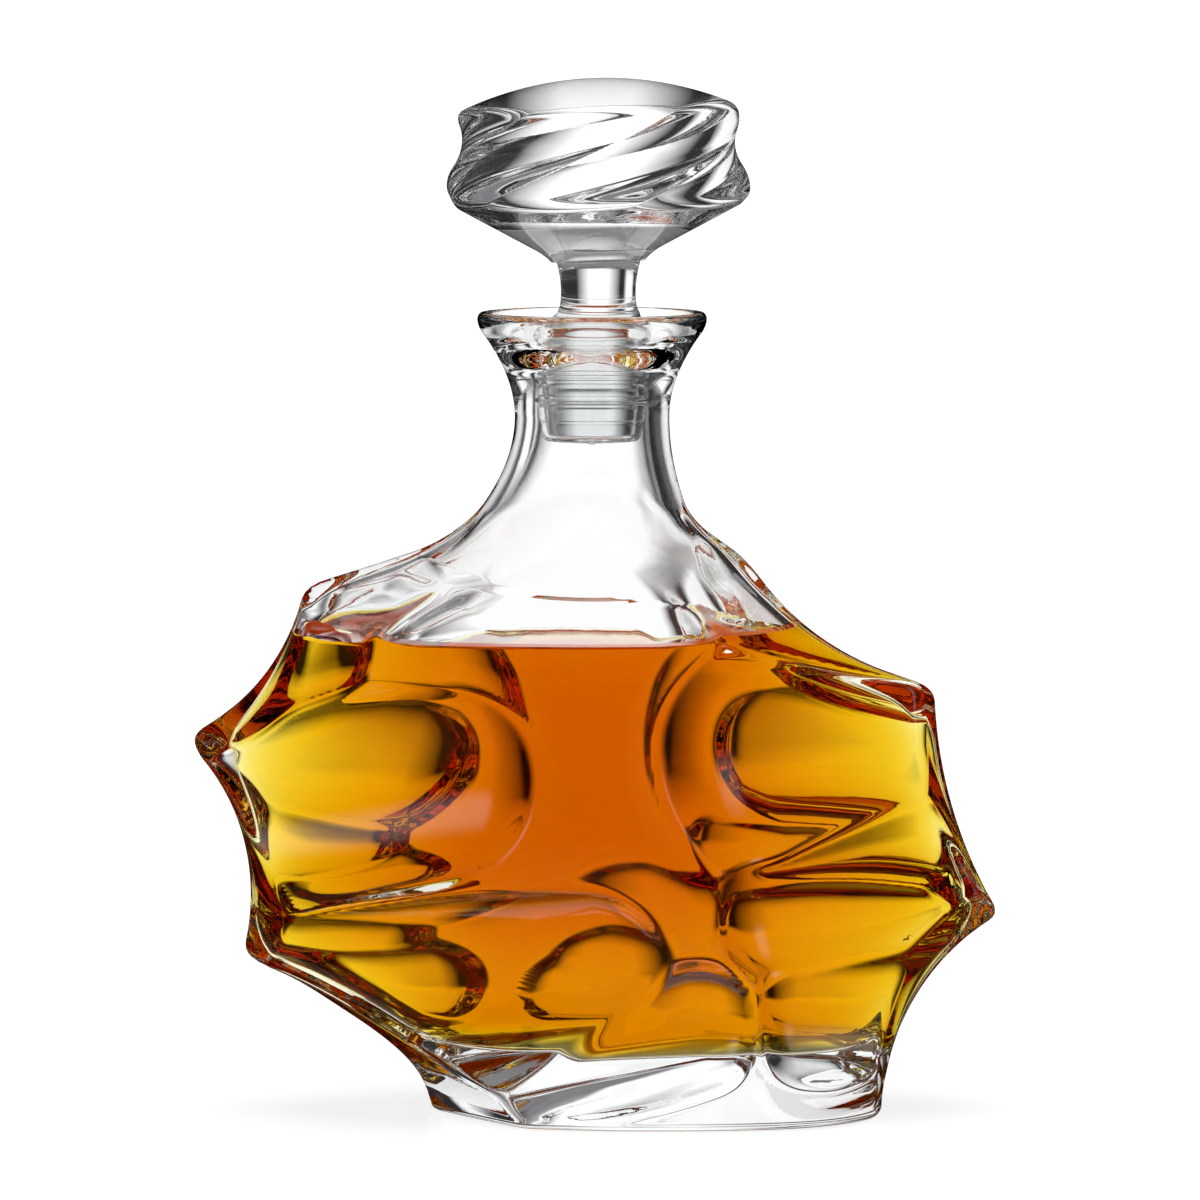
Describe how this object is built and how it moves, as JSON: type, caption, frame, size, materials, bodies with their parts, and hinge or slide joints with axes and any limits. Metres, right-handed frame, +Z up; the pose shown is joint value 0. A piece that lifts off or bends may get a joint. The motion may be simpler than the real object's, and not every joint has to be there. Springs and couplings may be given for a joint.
{
  "type": "crystal spirit decanter",
  "caption": "Sculpted crystal spirit decanter: star-edged lens body with long pressed scoops, flared neck and a fluted glass stopper in a moulded sealing sleeve, part-filled with amber spirit.",
  "frame": {"origin": "on the neck's axis at the table, the middle of the object's outline seen from above", "axes": "+Z up along the neck's axis, -Y out of the wide front face, +X to the viewer's right as seen from the front; the foot stands to the right of the neck"},
  "size_m": [0.1863, 0.088, 0.24],
  "materials": {
    "crystal": "polished",
    "spirit": "clear amber liquid",
    "seal": "translucent, moulded"
  },
  "bodies": {
    "decanter": {"decanter_body": "crystal", "spirit_fill": "spirit"},
    "seal": {"sealing_sleeve": "seal"},
    "stopper": {"stopper": "crystal"}
  },
  "joints": [
    {"name": "stopper_lift", "type": "slide", "parent": "decanter", "child": "seal", "axis": [0, 0, 1], "range_m": [0, 0.08]},
    {"name": "stopper_turn", "type": "hinge", "parent": "seal", "child": "stopper", "pos_m": [0, 0, 0.17], "axis": [0, 0, 1], "continuous": true}
  ]
}
